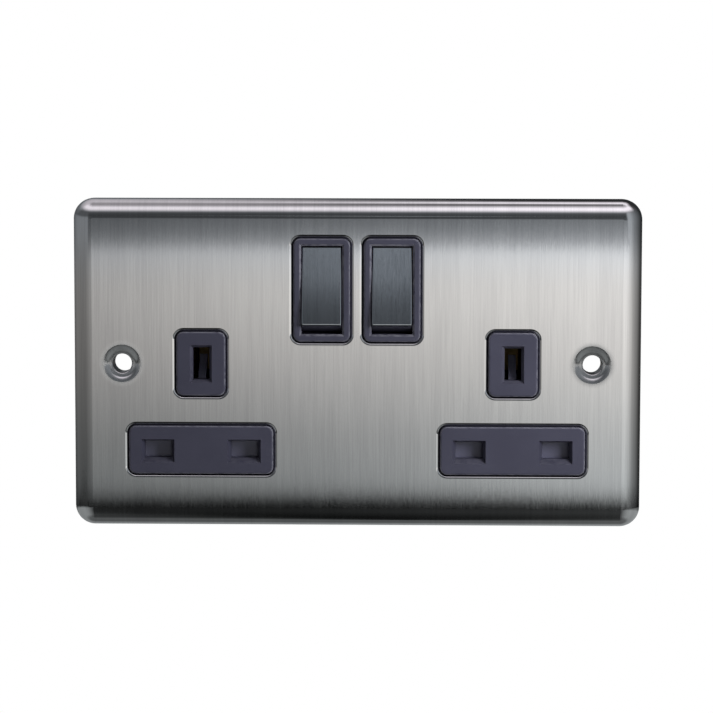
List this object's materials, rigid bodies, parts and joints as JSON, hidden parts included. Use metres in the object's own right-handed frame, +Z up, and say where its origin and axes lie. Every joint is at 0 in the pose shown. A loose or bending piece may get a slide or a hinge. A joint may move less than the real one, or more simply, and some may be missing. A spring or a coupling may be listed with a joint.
{
  "type": "uk twin socket",
  "caption": "Switched wall socket outlet with a rolled-edge brushed steel plate, dark plastic inserts, steel-capped rockers, sliding shutters behind the pin slots, and screw terminals.",
  "frame": {"origin": "on the wall plane, midway between the two fixing holes", "axes": "+Z up, +X to the right seen from the front, the front faces -Y and the wall box is on the +Y side"},
  "size_m": [0.146, 0.0286, 0.0844],
  "materials": {
    "plate_steel": "brushed vertically, satin",
    "cap_steel": "brushed, darker than the plate",
    "insert_plastic": "dark grey, semi-matt",
    "rocker_plastic": "dark grey, semi-matt",
    "shutter_plastic": "dark grey, matt",
    "housing_plastic": "near black, fine grain",
    "brass": "rolled strip",
    "eyelet_brass": "dull",
    "screw_brass": "turned",
    "screw_steel": "zinc plated",
    "spring_steel": "drawn wire",
    "contact_silver": "satin silver"
  },
  "bodies": {
    "outlet": {"faceplate": "plate_steel", "front_moulding": "insert_plastic", "rear_housing": "housing_plastic", "neutral_bar": "brass", "earth_bar": "brass", "live_bus": "brass", "live_terminal": "brass", "neutral_terminal": "brass", "earth_terminal_left": "brass", "earth_terminal_right": "brass", "fixed_contact_tips": "contact_silver", "terminal_screws": "screw_brass", "assembly_screws": "screw_steel", "fixing_eyelet_left": "eyelet_brass", "earth_tag_left": "brass", "live_contact_left": "brass", "neutral_contact_left": "brass", "earth_contact_left": "brass", "shutter_spring_left": "spring_steel", "shutter_retainer_left": "housing_plastic", "fixing_eyelet_right": "eyelet_brass", "earth_tag_right": "brass", "live_contact_right": "brass", "neutral_contact_right": "brass", "earth_contact_right": "brass", "shutter_spring_right": "spring_steel", "shutter_retainer_right": "housing_plastic"},
    "rocker_left": {"rocker_left": "rocker_plastic", "rocker_cap_left": "cap_steel", "plunger_spring_left": "spring_steel"},
    "plunger_left": {"plunger_left": "shutter_plastic"},
    "tilting_contact_left": {"tilting_contact_left": "brass", "moving_contact_tip_left": "contact_silver"},
    "shutter_left": {"shutter_left": "shutter_plastic"},
    "rocker_right": {"rocker_right": "rocker_plastic", "rocker_cap_right": "cap_steel", "plunger_spring_right": "spring_steel"},
    "plunger_right": {"plunger_right": "shutter_plastic"},
    "tilting_contact_right": {"tilting_contact_right": "brass", "moving_contact_tip_right": "contact_silver"},
    "shutter_right": {"shutter_right": "shutter_plastic"}
  },
  "joints": [
    {"name": "rocker_hinge_left", "type": "hinge", "parent": "outlet", "child": "rocker_left", "pos_m": [-0.009, -0.0008, 0.019], "axis": [1, 0, 0], "range_deg": [0, 17]},
    {"name": "plunger_slide_left", "type": "slide", "parent": "rocker_left", "child": "plunger_left", "axis": [0, -0.989, 0.1478], "range_m": [0, 0.0008], "stiffness_N_per_m": 300, "springref_m": -0.002, "deforming": ["plunger_spring_left"]},
    {"name": "contact_tilt_left", "type": "hinge", "parent": "outlet", "child": "tilting_contact_left", "pos_m": [-0.009, 0.00855, 0.019], "axis": [1, 0, 0], "range_deg": [-20.5, 0]},
    {"name": "shutter_slide_left", "type": "slide", "parent": "outlet", "child": "shutter_left", "axis": [0, 0, -1], "range_m": [0, 0.0058], "stiffness_N_per_m": 50, "springref_m": -0.004, "deforming": ["shutter_spring_left"]},
    {"name": "rocker_hinge_right", "type": "hinge", "parent": "outlet", "child": "rocker_right", "pos_m": [0.009, -0.0008, 0.019], "axis": [1, 0, 0], "range_deg": [0, 17]},
    {"name": "plunger_slide_right", "type": "slide", "parent": "rocker_right", "child": "plunger_right", "axis": [0, -0.989, 0.1478], "range_m": [0, 0.0008], "stiffness_N_per_m": 300, "springref_m": -0.002, "deforming": ["plunger_spring_right"]},
    {"name": "contact_tilt_right", "type": "hinge", "parent": "outlet", "child": "tilting_contact_right", "pos_m": [0.009, 0.00855, 0.019], "axis": [1, 0, 0], "range_deg": [-20.5, 0]},
    {"name": "shutter_slide_right", "type": "slide", "parent": "outlet", "child": "shutter_right", "axis": [0, 0, -1], "range_m": [0, 0.0058], "stiffness_N_per_m": 50, "springref_m": -0.004, "deforming": ["shutter_spring_right"]}
  ],
  "couplings": [
    {"joint": "contact_tilt_left", "follows": "rocker_hinge_left", "ratio": -1.2058},
    {"joint": "contact_tilt_right", "follows": "rocker_hinge_right", "ratio": -1.2058}
  ]
}
